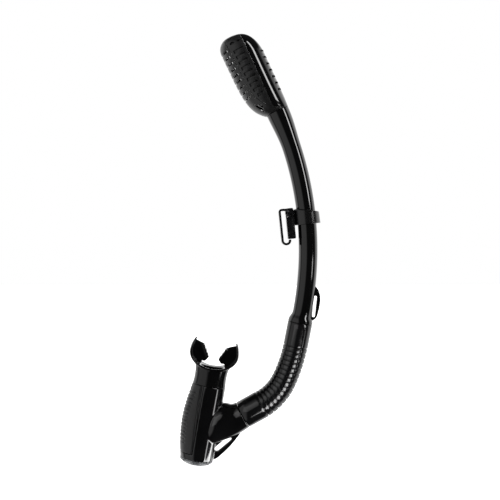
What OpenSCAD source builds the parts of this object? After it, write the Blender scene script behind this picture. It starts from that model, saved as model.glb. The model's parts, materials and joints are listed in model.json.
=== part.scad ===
// Dry-top snorkel tube: curved barrel, vented float-valve head, flexible hose and purge mouthpiece.
// Units are millimetres. X is to the right of the side view, Y is through the thickness, Z is up.
// The origin is the middle of the keeper's mask-strap slot. Everything is symmetric about Y = 0.

/* [Barrel] */
// Outside diameter of the barrel tube
barrel_od = 20; // [19:0.5:20.5]
// Wall thickness of the barrel tube
barrel_wall = 2; // [1.6:0.1:2.2]
// Bend radius of the barrel's centre line
barrel_bend = 345; // [338:1:352]

/* [Head] */
// Outside diameter of the vented head
head_od = 40.8; // [40:0.2:42]
// Wall thickness of the head shells
shell_wall = 2; // [1.6:0.2:2.2]
// Number of slots in the front grille
grille_slots = 9; // [5:1:9]
// Height of each grille slot
slot_gap = 2; // [1.4:0.2:2.4]
// Number of louvres down each side panel
side_louvres = 9; // [5:1:9]

/* [Keeper] */
// Clear width of the mask-strap slot
strap_gap = 4.8; // [4.4:0.1:5]
// Thickness of the strap hook
hook_t = 2.2; // [1.8:0.1:2.4]
// Width of the strap hook through the part
hook_w = 14; // [12:1:16]

/* [Hose] */
// Number of ribs on the hose
hose_ribs = 16; // [14:1:18]
// Outside diameter over the ribs
hose_od = 26; // [25.4:0.2:26.6]
// Depth of the valleys between the ribs
rib_depth = 1.5; // [1:0.1:1.8]

/* [Mouthpiece] */
// Half width of the lip flange
flange_half = 26.3; // [25:0.5:28]
// Depth of the lip flange through the part
flange_depth = 28; // [24:1:32]
// Number of ribs on the grip cover
grip_ribs = 15; // [9:1:17]

/* [Hidden] */
$fn = 64;
eps = 0.01;
big = 200;

// Barrel line: one arc, vertical at the apex.
apex_x = 24.95;
apex_z = -23.8;
head_angle = 24.8;
flare_angle = 18;
hose_angle = -11.13;
barrel_r = barrel_od / 2;
bore_r = barrel_r - barrel_wall;
rim_r = 12.3;
socket_r = 10;
socket_depth = 9;
skirt_len = 10;
cuff_r = hose_od / 2;
skirt_step = 0.15;
skirt_lap = 0.7;
skirt_bore = 8.3;
spigot_r = 10.4;
spigot_len = 19;
barb_r = 10.62;
fin_t = 3;
fin_slot_w = 3;

// Keeper on the barrel.
keeper_angle = 5.9;
collar_clear = 0.3;
collar_r = 13.2;
collar_h = 17.4;
block_left = -21.8;
block_right = -13.6;
block_top = 9.8;
block_bottom = -22.2;
block_w = 16;
hook_pin_r = 1.2;
hook_pin_x = -19.4;
hook_pin_z = 6.8;
knuckle_r = 2.4;
knuckle_w = 8;
run_gap = 0.08;

// Head frame: origin on the barrel axis at the seam, z along the head.
head_r = head_od / 2;
head_left = 11.9 - head_od;
head_right = 13.3;
head_blend = 12;
dome_z = 79.2;
dome_r = 12.3;
back_z = 62;
back_a = 17;
back_b = 28.4;
split_x = -20;
spine_x = -3.4;
seam_gap = 0.25;
lip_t = 1.2;
slot_first = 24.6;
slot_pitch = 6.54;
louvre_first = 21.6;
louvre_pitch = 6.26;
spine_slot_gap = 1.8;
spine_slots = 7;
spine_slot_first = 19.8;
spine_slot_pitch = 7.3;

// Float valve inside the head.
inlet_r = 8.6;
inlet_bore = 6.6;
seat_z = 46;
pivot_x = -9.5;
pivot_z = 50;
open_angle = 16;
lever_half = 3.2;
pad_r = 7.4;
pad_t = 1.6;
carrier_t = 1.4;
float_arm = 7.1;
float_r = 6.5;
float_len = 17;
float_drop = 5.4;
ear_y = 5.5;
ear_t = 2;

// Hose: two arcs between straight cuffs.
cuff_len = 22;
bend_start = 11.13;
bend_mid = 25;
bend_end = 61;
bend_r1 = 166.2;
bend_r2 = 58;
low_cuff_len = 21;
low_cuff_r = 14.6;
hose_bore = 9.6;

// Purge housing frame: origin at the middle of its lower rim.
body_x = -92.15;
body_z = -241.7;
body_tilt = 9.8;
root_p = [body_x, body_z];
body_h = 77.5;
body_r = 17.4;
body_bulge = 4.9;
body_wall = 3.2;
grip_t = 1.6;
grip_edge = -4.7;
grip_base = 6;
groove_depth = 0.9;
groove_w = 24;
groove_base = 15.5;
groove_span = 57;
neck_ry = 15;
branch_r = 14.6;
web_t = 5;
web_eye_w = 4.8;
swivel_r = 9.9;
swivel_bore = 8;

function arc_p(a) = [apex_x - barrel_bend + barrel_bend * cos(a), apex_z + barrel_bend * sin(a)];
head_p = arc_p(head_angle);
keeper_p = arc_p(keeper_angle);
function down(a, l) = [-l * sin(a), -l * cos(a)];
hose_p = arc_p(hose_angle) + down(bend_start, skirt_len);
hose_top = hose_p + down(bend_start, cuff_len);
function turn(p, r, a0, a1) = p + [r * (cos(a1) - cos(a0)), -r * (sin(a1) - sin(a0))];
hose_mid = turn(hose_top, bend_r1, bend_start, bend_mid);
hose_end = turn(hose_mid, bend_r2, bend_mid, bend_end);
branch_p = hose_end + down(bend_end, low_cuff_len + 0.3);
arc1 = bend_r1 * (bend_mid - bend_start) * PI / 180;
arc2 = bend_r2 * (bend_end - bend_mid) * PI / 180;
rib_pitch = (arc1 + arc2) / (hose_ribs - 1);

module at(p, a) {
    translate([p[0], 0, p[1]])
        rotate([0, a, 0])
            children();
}
module in_head() { at(head_p, -head_angle) children(); }
module in_keeper() { at(keeper_p, -keeper_angle) children(); }
module in_branch() { at(branch_p, bend_end) children(); }
module in_body() { at(root_p, body_tilt) children(); }
// Extrudes a flat XZ outline through the thickness.
module plate(w) {
    rotate([90, 0, 0])
        linear_extrude(height = w, center = true)
            children();
}
module pin_y(r, w) {
    rotate([90, 0, 0])
        cylinder(r = r, h = w, center = true);
}
module ring(r_out, r_in, z0, z1) {
    translate([0, 0, z0])
        difference() {
            cylinder(r = r_out, h = z1 - z0);
            translate([0, 0, -1])
                cylinder(r = r_in, h = z1 - z0 + 2);
        }
}

// A station is [left point, right point, half depth]: an oval ring across the J plane.
function ring_pts(s, n) = [
    for (k = [0:n - 1])
        let (t = 360 * k / n, mx = (s[0] + s[1]) / 2, hx = (s[1] - s[0]) / 2)
            [mx[0] + hx[0] * cos(t), s[2] * sin(t), mx[1] + hx[1] * cos(t)]
];
function side_faces(m, n, base, flip) = [
    for (i = [0:m - 2], k = [0:n - 1])
        let (a = base + i * n + k, b = base + i * n + (k + 1) % n)
            each flip ? [[a, b + n, a + n], [a, b, b + n]] : [[a, a + n, b + n], [a, b + n, b]]
];
module loft(st, n) {
    m = len(st);
    polyhedron(
        points = [for (s = st) each ring_pts(s, n)],
        faces = concat(side_faces(m, n, 0, false), [[for (k = [0:n - 1]) k]],
                       [[for (k = [0:n - 1]) m * n - 1 - k]]),
        convexity = 10);
}
// One closed skin with an outer and an inner surface, open at both ends.
module loft_tube(outer, inner, n) {
    m = len(outer);
    q = len(inner);
    o1 = (m - 1) * n;
    i0 = m * n;
    i1 = i0 + (q - 1) * n;
    polyhedron(
        points = [for (s = concat(outer, inner)) each ring_pts(s, n)],
        faces = concat(
            side_faces(m, n, 0, false),
            side_faces(q, n, i0, true),
            [for (k = [0:n - 1]) let (j = (k + 1) % n) each [[k, j, i0 + j], [k, i0 + j, i0 + k]]],
            [for (k = [0:n - 1]) let (j = (k + 1) % n)
                each [[o1 + k, i1 + j, o1 + j], [o1 + k, i1 + k, i1 + j]]]),
        convexity = 10);
}
function round_st(p, a, r) = [p + r * [-cos(a), sin(a)], p + r * [cos(a), -sin(a)], r];

// ---------- head shells ----------
function swell(z) = 1 - exp(-z / head_blend);
function head_ring(z, t) = [
    [-rim_r + t + (head_left + rim_r) * swell(z), z],
    [rim_r - t + (head_right - rim_r) * swell(z), z],
    rim_r - t + (head_r - rim_r) * swell(z)
];
function dome_ring(a, t) = [
    [head_left + dome_r - (dome_r - t) * cos(a), dome_z + (dome_r - t) * sin(a)],
    [head_right - back_a + (back_a - t) * cos(a), back_z + (back_b - t) * sin(a)],
    (head_r - t) * pow(cos(a), 0.62)
];
function head_stations(t, z0) = concat(
    [for (z = [z0, 3, 6.5, 11, 17, 25, 36, 50]) head_ring(z, t)],
    [for (a = [0, 16, 31, 45, 58, 69, 78, 84]) dome_ring(a, t)]
);
module head_solid(t, z0) { loft(head_stations(t, z0), 36); }
module head_shell(t0, t1) {
    difference() {
        head_solid(t0, seam_gap);
        head_solid(t1, -1);
    }
}
// Outline of the region in front of the parting line, moved right by g.
module front_outline(g) {
    translate([g, 0])
        polygon([[-60, -20], [24, -5.5], [4, 2.2], [-1.5, 4.4], [-5.2, 6.9], [-9, 10.3], [-12.3, 14.2],
                 [-15, 18.4], [-17.2, 23.4], [-18.6, 30], [-19.3, 40], [split_x, 60], [split_x - 0.6, 80],
                 [split_x - 0.6, 110], [-60, 110]]);
}
module spine_outline(g) {
    translate([spine_x + g, -20])
        square([60, 140]);
}
// How far the lower louvre rows step in from the parting line.
function row_shift(i) = 3.9 * exp(-i / 1.4);
module slot_rows(n, first, pitch) {
    for (i = [0:n - 1])
        translate([0, 0, first + i * pitch])
            children();
}
module front_grille() {
    color([0.10, 0.10, 0.11]) in_head()
        difference() {
            intersection() {
                head_shell(0, shell_wall);
                plate(big) front_outline(-seam_gap / 2);
            }
            slot_rows(grille_slots, slot_first, slot_pitch)
                translate([-34, -14.5, -slot_gap / 2])
                    cube([14.5, 29, slot_gap]);
            for (s = [-1, 1])
                scale([1, s, 1])
                    translate([0, -5, 0])
                        rotate([90, 0, 0])
                            linear_extrude(height = 30)
                                polygon([[-21.3, 15.9], [-12.9, 11.2], [-13.8, 3.9]]);
        }
}
module side_cowl() {
    color([0.13, 0.13, 0.14]) in_head() {
        difference() {
            intersection() {
                head_shell(0, shell_wall);
                difference() {
                    plate(big) square([2 * big, 2 * big], center = true);
                    plate(big + 2) front_outline(seam_gap / 2);
                    plate(big + 2) spine_outline(-seam_gap / 2);
                }
            }
            for (i = [0:side_louvres - 1])
                translate([row_shift(i), 0, louvre_first + i * louvre_pitch]) {
                    translate([-17.4, -30, -1.7])
                        cube([3.8, 60, 3.4]);
                    translate([-14, -30, 0.7])
                        cube([6.6 - row_shift(i), 60, 1.1]);
                }
        }
        // Lips that back the two seams.
        intersection() {
            head_shell(shell_wall, shell_wall + lip_t);
            plate(big) {
                translate([split_x - 2, 30])
                    square([4, 56]);
                translate([spine_x - 2, 24])
                    square([4, 60]);
            }
        }
        louvre_plates();
    }
}
// Raised plates between the side slots, on both faces.
module louvre_plates() {
    intersection() {
        difference() {
            head_solid(-0.6, seam_gap);
            head_solid(0.4, -1);
        }
        for (i = [0:side_louvres - 2])
            translate([row_shift(i), -30, louvre_first + i * louvre_pitch + 2.3])
                translate([-13.1, 0, 0])
                    cube([6.9 - row_shift(i), 60, 4.2]);
    }
}
module spine_cover() {
    color([0.04, 0.04, 0.05]) in_head()
        difference() {
            intersection() {
                head_shell(0, shell_wall);
                difference() {
                    plate(big) spine_outline(seam_gap / 2);
                    plate(big + 2) front_outline(seam_gap / 2);
                }
            }
            slot_rows(spine_slots, spine_slot_first, spine_slot_pitch)
                for (s = [-1, 1])
                    translate([8.6, s * 9.2 - 4.6, -spine_slot_gap / 2])
                        cube([6.8, 9.2, spine_slot_gap]);
        }
}

// ---------- float valve ----------
module valve_frame() {
    color([0.16, 0.16, 0.17]) in_head()
        difference() {
            union() {
                translate([0, 0, -socket_depth + 0.3])
                    cylinder(r = socket_r - 0.07, h = socket_depth);
                translate([0, 0, 0.05])
                    cylinder(r = 10.1, h = 3);
                cylinder(r = inlet_r, h = seat_z - 1.6);
                translate([0, 0, seat_z - 2])
                    cylinder(r1 = inlet_r, r2 = inlet_bore + 0.8, h = 2);
                for (s = [-1, 1])
                    translate([0, s * (ear_y + ear_t / 2), 0]) {
                        plate(ear_t)
                            polygon([[-4, 26], [-4.4, seat_z - 8], [-7.4, seat_z - 3], [pivot_x + 2.3, pivot_z],
                                     [pivot_x - 2.3, pivot_z], [pivot_x - 2.3, 38]]);
                        translate([pivot_x, 0, pivot_z])
                            pin_y(2.3, ear_t);
                    }
            }
            translate([0, 0, -socket_depth])
                cylinder(r = inlet_bore, h = 80);
            translate([pivot_x, 0, pivot_z])
                pin_y(1, 40);
            ring(12, 8.45, -5.8, -4);
        }
}
module head_o_ring() {
    color([0.05, 0.05, 0.05]) in_head()
        translate([0, 0, -4.9])
            rotate_extrude()
                translate([9.23, 0])
                    circle(r = 0.74, $fn = 24);
}
module lever_pin() {
    color([0.75, 0.76, 0.78]) in_head()
        translate([pivot_x, 0, pivot_z])
            pin_y(0.98, 2 * (ear_y + ear_t) + 0.6);
}
module lever_pose() {
    in_head()
        translate([pivot_x, 0, pivot_z])
            rotate([0, -open_angle, 0])
                children();
}
module valve_lever() {
    z_pad = seat_z - pivot_z + pad_t;
    color([0.20, 0.20, 0.21]) lever_pose()
        difference() {
            union() {
                pin_y(2.6, 2 * ear_y - 0.6);
                translate([-float_arm, -lever_half, -1.3])
                    cube([float_arm - pivot_x + 3, 2 * lever_half, 2.6]);
                translate([-float_arm, 0, 0])
                    pin_y(2.1, 2 * lever_half);
                translate([-pivot_x, 0, z_pad])
                    cylinder(r = pad_r + 0.2, h = carrier_t);
                translate([-pivot_x, 0, z_pad])
                    cylinder(r = 3, h = -z_pad);
            }
            pin_y(1 + run_gap, 30);
            translate([-float_arm, 0, 0])
                pin_y(0.9 + run_gap, 30);
            translate([-pivot_x, 0, z_pad - 1])
                cylinder(r = 1.3, h = 2.6);
        }
}
module seal_pad() {
    color([0.30, 0.30, 0.31]) lever_pose()
        translate([-pivot_x, 0, seat_z - pivot_z]) {
            cylinder(r = pad_r, h = pad_t);
            translate([0, 0, pad_t - eps])
                cylinder(r = 1.25, h = 1.4);
        }
}
module float_pose() {
    lever_pose()
        translate([-float_arm, 0, 0])
            rotate([0, open_angle, 0])
                children();
}
module float_pin() {
    color([0.75, 0.76, 0.78]) float_pose()
        pin_y(0.88, 11);
}
module float_cap() {
    color([0.62, 0.63, 0.60]) float_pose()
        difference() {
            union() {
                translate([0, 0, -float_drop - 1.6])
                    cylinder(r = float_r, h = 1.6);
                translate([0, 0, -float_drop - 3.6])
                    cylinder(r = float_r - 1.3, h = 2.2);
                for (s = [-1, 1])
                    translate([0, s * 4.4, 0]) {
                        pin_y(1.9, 1.7);
                        translate([-1.9, -0.85, -float_drop - 0.2])
                            cube([3.8, 1.7, float_drop + 0.2]);
                    }
            }
            pin_y(0.9, 30);
        }
}
module float() {
    color([0.70, 0.71, 0.68]) float_pose()
        translate([0, 0, -float_drop - 1.65 - float_len])
            difference() {
                cylinder(r = float_r, h = float_len);
                translate([0, 0, 1.2])
                    cylinder(r = float_r - 1.2, h = float_len);
            }
}

// ---------- barrel ----------
module along_arc(a0, a1) {
    translate([apex_x - barrel_bend, 0, apex_z])
        rotate([90, 0, 0])
            rotate([0, 0, a0])
                rotate_extrude(angle = a1 - a0, $fn = 240)
                    translate([barrel_bend, 0])
                        children();
}
function flare(u) = u * u * (3 - 2 * u);
function flare_st(a) = round_st(arc_p(a), -a,
    barrel_r + 0.03 + (rim_r - barrel_r - 0.03) * flare((a - flare_angle) / (head_angle - flare_angle)));
// Lanyard fin with its long slot, drawn from the apex.
module eyelet() {
    at([apex_x, apex_z], 0)
        plate(fin_t)
            difference() {
                polygon([[2.0, -29], [7.6, -37.4], [11.0, -42.8], [12.7, -49.5], [12.4, -56], [11.0, -63.4],
                         [8.8, -70.4], [5.6, -73.6], [2.4, -74.4], [-5.6, -74], [-3.6, -29]]);
                translate([7.6, -49.6])
                    circle(r = fin_slot_w / 2);
                translate([5.6, -69])
                    circle(r = fin_slot_w / 2);
                translate([6.6, -59.3])
                    rotate([0, 0, -5.9])
                        square([fin_slot_w, 19.5], center = true);
            }
}
// Curved tube and its flared top. The flare's first ring is sunk into the tube wall.
module curved_tube() {
    difference() {
        union() {
            along_arc(hose_angle - skirt_lap, flare_angle) circle(r = barrel_r);
            loft(concat(
                [round_st(arc_p(flare_angle - 0.5), 0.5 - flare_angle, barrel_r - 0.7)],
                [for (i = [0:8]) flare_st(flare_angle + 0.1 + (head_angle - flare_angle - 0.1) * i / 8)]), 48);
        }
        along_arc(hose_angle - skirt_lap - 1, head_angle + 1) circle(r = bore_r);
        in_head()
            translate([0, 0, -socket_depth])
                cylinder(r = socket_r, h = socket_depth + 5);
    }
}
// Flared skirt round the tube's end, and the barbed spigot inside the hose's cuff.
module hose_end_part() {
    at(hose_p, bend_start)
        difference() {
            union() {
                rotate_extrude()
                    polygon([[0, 0], [cuff_r, 0], [cuff_r, 2], [cuff_r - 0.4, 4], [cuff_r - 1.5, 6.2],
                             [barrel_r + 0.6, 8.4], [barrel_r + skirt_step, skirt_len], [0, skirt_len]]);
                translate([0, 0, -spigot_len])
                    cylinder(r = spigot_r, h = spigot_len + 1);
                for (i = [0:2])
                    translate([0, 0, -spigot_len + 1 + 5.4 * i])
                        cylinder(r1 = spigot_r, r2 = barb_r, h = 2);
            }
            translate([0, 0, -spigot_len - 1])
                cylinder(r = skirt_bore, h = spigot_len + skirt_len + 2);
        }
}
module barrel() {
    color([0.02, 0.02, 0.02]) {
        curved_tube();
        hose_end_part();
        difference() {
            eyelet();
            along_arc(hose_angle - 2, 0) circle(r = barrel_r - 0.6);
        }
    }
}

// ---------- keeper ----------
module keeper_collar() {
    color([0.05, 0.05, 0.05]) in_keeper()
        difference() {
            union() {
                rotate_extrude()
                    polygon([[5, -collar_h / 2], [collar_r - 0.8, -collar_h / 2], [collar_r, -collar_h / 2 + 0.8],
                             [collar_r, collar_h / 2 - 1.4], [collar_r - 1.4, collar_h / 2], [5, collar_h / 2]]);
                translate([block_right - 0.1, -5, -collar_h / 2 + 1])
                    cube([3, 10, collar_h - 2]);
                plate(9)
                    polygon([[8, -8], [collar_r + 0.5, -8], [collar_r + 0.9, -7], [collar_r + 0.7, 3], [12, 6], [8, 6.4]]);
            }
            cylinder(r = barrel_r + collar_clear, h = big, center = true);
            for (s = [-1, 1])
                translate([7.2, s * 11.9, 0.5])
                    cube([0.8, 2.4, 11.5], center = true);
        }
}
// The ears' top corners are cut back, so that the hook can swing past them.
module clip_block() {
    color([0.07, 0.07, 0.07]) in_keeper()
        difference() {
            union() {
                plate(block_w)
                    polygon([[block_left + 0.4, block_bottom], [block_right - 0.6, block_bottom],
                             [block_right, block_bottom + 0.6], [block_right, -9.6], [block_right + 0.1, -9],
                             [block_right + 0.1, block_top - 0.8], [block_right - 0.8, block_top],
                             [hook_pin_x, block_top], [hook_pin_x - 1.2, hook_pin_z + 2.4],
                             [hook_pin_x - 2.1, hook_pin_z + 1.6], [block_left, hook_pin_z + 0.8],
                             [block_left, block_bottom + 0.4]]);
            }
            translate([hook_pin_x, 0, hook_pin_z])
                pin_y(hook_pin_r, 40);
            translate([block_left - 1, -knuckle_w / 2 - 0.2, hook_pin_z - knuckle_r - 0.5])
                cube([hook_pin_x - block_left + knuckle_r + 1.5, knuckle_w + 0.4, 12]);
            // Bevelled window on each cheek.
            for (s = [-1, 1])
                translate([-16.2, s * (block_w / 2), -2.2])
                    rotate([0, 45, 0])
                        cube([3, 1.2, 3], center = true);
            translate([block_right - 0.1, -5.1, -collar_h / 2 + 0.9])
                cube([3, 10.2, collar_h - 1.8]);
        }
}
module hook_pin() {
    color([0.75, 0.76, 0.78]) in_keeper()
        translate([hook_pin_x, 0, hook_pin_z])
            pin_y(hook_pin_r - 0.02, block_w);
}
module strap_hook() {
    gap_left = block_left - strap_gap;
    bar_left = gap_left - hook_t;
    j_r = 5;
    j_x = bar_left + j_r;
    j_z = block_bottom - 1.1;
    color([0.08, 0.08, 0.08]) in_keeper()
        difference() {
            union() {
                // Bar, rounded top corner and the hooked lower end.
                plate(hook_w)
                    union() {
                        translate([bar_left, j_z])
                            square([hook_t, block_top - 3 - j_z]);
                        difference() {
                            translate([bar_left + 3, block_top - 3])
                                circle(r = 3);
                            translate([bar_left + 3, block_top - 3])
                                circle(r = 3 - hook_t);
                            translate([bar_left + 3, block_top - 10])
                                square([10, 12]);
                            translate([bar_left - 1, block_top - 13])
                                square([10, 10]);
                        }
                        difference() {
                            translate([j_x, j_z])
                                circle(r = j_r);
                            translate([j_x, j_z])
                                circle(r = j_r - hook_t);
                            translate([j_x - 10, j_z])
                                square([20, 10]);
                        }
                        translate([j_x + j_r - hook_t, j_z - eps])
                            square([hook_t, 0.55]);
                    }
                plate(hook_w)
                    translate([bar_left + 3 - eps, block_top - hook_t])
                        square([block_left - 0.35 - bar_left - 3, hook_t]);
                plate(knuckle_w)
                    translate([bar_left + 4, block_top - hook_t])
                        square([hook_pin_x - bar_left - 4, hook_t]);
                translate([hook_pin_x, 0, hook_pin_z])
                    pin_y(knuckle_r, knuckle_w);
                plate(knuckle_w)
                    translate([hook_pin_x - knuckle_r, hook_pin_z])
                        square([knuckle_r, block_top - hook_pin_z - 0.4]);
            }
            translate([hook_pin_x, 0, hook_pin_z])
                pin_y(hook_pin_r + run_gap, 40);
        }
}

// ---------- hose ----------
function hose_at(s) = s < arc1
    ? let (a = bend_start + s / bend_r1 * 180 / PI) [turn(hose_top, bend_r1, bend_start, a), a]
    : let (a = bend_mid + (s - arc1) / bend_r2 * 180 / PI) [turn(hose_mid, bend_r2, bend_mid, a), a];
// The hose widens a little towards its lower cuff.
function grow(s) = (low_cuff_r - cuff_r) * pow(s / (arc1 + arc2), 2);
function hose_ring(s, r) = let (h = hose_at(s)) round_st(h[0], h[1], r);
function cuff_ring(p, a, l, r) = round_st(p + down(a, l), a, r);
hose_outer = concat(
    [cuff_ring(hose_end, bend_end, low_cuff_len, low_cuff_r), cuff_ring(hose_end, bend_end, 1.6, low_cuff_r)],
    [for (i = [hose_ribs - 1:-1:0])
        let (s = i * rib_pitch)
            each [hose_ring(min(s + rib_pitch * 0.30, arc1 + arc2), cuff_r + grow(s)),
                  hose_ring(max(s - rib_pitch * 0.12, 0), cuff_r + grow(s)),
                  if (i > 0) hose_ring(s - rib_pitch * 0.30, cuff_r + grow(s) - rib_depth),
                  if (i > 0) hose_ring(s - rib_pitch * 0.52, cuff_r + grow(s) - rib_depth)]],
    [cuff_ring(hose_p, bend_start, cuff_len - 1.6, cuff_r), cuff_ring(hose_p, bend_start, 0.3, cuff_r)]
);
hose_inner = concat(
    [cuff_ring(hose_end, bend_end, low_cuff_len, 10.75), cuff_ring(hose_end, bend_end, 1.2, 10.75)],
    [for (i = [12:-1:0]) hose_ring((arc1 + arc2) * i / 12, hose_bore)],
    [cuff_ring(hose_p, bend_start, cuff_len - 1.2, 10.75), cuff_ring(hose_p, bend_start, 0.3, 10.75)]
);
module corrugated_hose() {
    color([0.03, 0.03, 0.03])
        loft_tube(hose_outer, hose_inner, 32);
}
module swivel_coupling() {
    color([0.10, 0.10, 0.10]) in_branch()
        difference() {
            union() {
                translate([0, 0, 0.35])
                    cylinder(r = spigot_r, h = low_cuff_len - 3);
                for (i = [0:2])
                    translate([0, 0, 3 + 5 * i])
                        cylinder(r1 = barb_r, r2 = spigot_r, h = 2);
                translate([0, 0, -8.6])
                    cylinder(r = swivel_r, h = 9.5);
            }
            translate([0, 0, -10])
                cylinder(r = swivel_bore, h = 60);
            ring(12, 9.2, -6.2, -4.8);
        }
}
module swivel_ring() {
    color([0.72, 0.72, 0.74]) in_branch()
        difference() {
            ring(10.5, 9.25, -6.1, -4.9);
            translate([0, 0, -5.5])
                rotate([0, 0, 90])
                    translate([6, -1.5, -2])
                        cube([8, 3, 4]);
        }
}

// ---------- purge housing ----------
function body_ring(z, t, ry_t) = [
    [-body_r + t - body_bulge * sin(180 * min(max(z / body_h, 0), 1)), z],
    [body_r - t, z],
    body_r - ry_t + (neck_ry - body_r) * flare(min(max(z / body_h, 0), 1))
];
module body_solid(t, z0, z1, n) {
    loft([for (i = [0:n]) body_ring(z0 + (z1 - z0) * i / n, t, t)], 44);
}
module grip_zone() {
    plate(big)
        translate([-60, grip_base])
            square([60 + grip_edge, body_h - grip_base + 5]);
}
// Web under the branch, with its long eye, drawn from the lower rim's middle.
module web_plate() {
    at(root_p, 0)
        plate(web_t)
            difference() {
                polygon([[48.1, 31.9], [47.1, 28.3], [45.1, 24.5], [41.9, 20.3], [35.0, 12.0],
                         [26.1, 3.6], [20.6, -0.7], [15.5, -2.1], [7.5, 15.9], [21.5, 35.9]]);
                translate([27.7, 14.8])
                    rotate([0, 0, 40]) {
                        square([17, web_eye_w], center = true);
                        translate([8.5, 0])
                            circle(r = web_eye_w / 2);
                        translate([-8.5, 0])
                            circle(r = web_eye_w / 2);
                    }
            }
}
// The branch widens into the chamber: stations of [upper point, lower point, half depth].
module branch_root() {
    loft([
        [root_p + [9.0, 36.9], root_p + [12.5, 12.4], 13.6],
        [root_p + [15.5, 49.4], root_p + [21.7, 15.9], 15.8],
        [root_p + [23.5, 56.1], root_p + [29.9, 18.9], 15.4],
        [root_p + [30.5, 57.5], root_p + [38.2, 22.1], 14.6],
        [root_p + [36.9, 56.2], root_p + [46.9, 26.6], 14.2],
        [branch_p + branch_r * [-cos(bend_end), sin(bend_end)] + down(bend_end, 0.9),
         branch_p + branch_r * [cos(bend_end), -sin(bend_end)] + down(bend_end, 0.9), branch_r]
    ], 40);
}
module purge_housing() {
    color([0.03, 0.03, 0.03])
        difference() {
            union() {
                in_body()
                    difference() {
                        body_solid(0, 0, body_h, 12);
                        difference() {
                            grip_zone();
                            in_grip_core();
                        }
                    }
                in_branch()
                    translate([0, 0, -3])
                        cylinder(r = branch_r + 0.02, h = 2.7);
                branch_root();
                web_plate();
                in_body()
                    translate([0, 0, body_h - eps])
                        scale([1, 0.82, 1])
                            cylinder(r = 14.6, h = 8);
            }
            in_body() {
                body_solid(body_wall, 7.5, body_h - 3, 10);
                translate([0, 0, -1])
                    cylinder(r = 14.4, h = 6.2);
                translate([0, 0, 5])
                    cylinder(r = 12.6, h = 4);
                translate([0, 0, body_h - 4])
                    scale([1, 0.8, 1])
                        cylinder(r = 12.4, h = 14);
            }
            in_branch() {
                translate([0, 0, -8.8])
                    cylinder(r = 10, h = 10);
                translate([0, 0, -48])
                    cylinder(r = swivel_bore + 0.6, h = 48);
                ring(10.65, 9, -6.4, -4.6);
            }
        }
}
module in_grip_core() {
    body_solid(grip_t, -1, body_h + 6, 12);
}
module grip_cover() {
    color([0.14, 0.14, 0.15]) in_body()
        difference() {
            intersection() {
                body_solid(0, 0, body_h, 12);
                plate(big)
                    translate([-60, grip_base + 0.2])
                        square([60 + grip_edge - 0.2, body_h]);
            }
            in_grip_core();
            // Grooves between the ribs, cut to one depth all the way round.
            intersection() {
                difference() {
                    body_solid(-1, 0, body_h, 12);
                    body_solid(groove_depth, 0, body_h, 12);
                }
                for (i = [0:grip_ribs - 1])
                    translate([-60, -groove_w / 2, groove_base + i * groove_span / grip_ribs])
                        cube([60 - body_r + 3.4, groove_w, 1.5]);
            }
        }
}
module purge_seat() {
    color([0.16, 0.16, 0.17]) in_body()
        union() {
            ring(14.3, 10.6, 2.7, 5.1);
            ring(2.8, 1.3, 2.7, 5.1);
            for (a = [0:60:300])
                rotate([0, 0, a])
                    translate([2.4, -0.6, 3.2])
                        cube([8.6, 1.2, 1.9]);
        }
}
module purge_valve() {
    color([0.45, 0.46, 0.46]) in_body()
        union() {
            translate([0, 0, 1.75])
                cylinder(r = 12, h = 0.9);
            translate([0, 0, 2])
                cylinder(r = 1.2, h = 3.4);
            translate([0, 0, 7.0])
                cylinder(r1 = 2.2, r2 = 1, h = 1.8);
            translate([0, 0, 4])
                cylinder(r = 1.2, h = 3.2);
        }
}
module purge_cover() {
    color([0.75, 0.78, 0.80, 0.5]) in_body()
        difference() {
            union() {
                ring(14.3, 12.6, -1, 2.6);
                ring(17.4, 12.6, -1.9, -0.15);
                translate([0, 0, -4.4])
                    cylinder(r1 = 14.2, r2 = 17.2, h = 2.5);
            }
            translate([0, 0, -3.2])
                cylinder(r1 = 12.6, r2 = 14.8, h = 1.9);
            translate([0, 0, -1.4])
                cylinder(r = 12.6, h = 8);
            for (a = [0:60:300])
                rotate([0, 0, a + 30])
                    translate([13, -3.4, -3.4])
                        cube([8, 6.8, 1.3]);
        }
}

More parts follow.
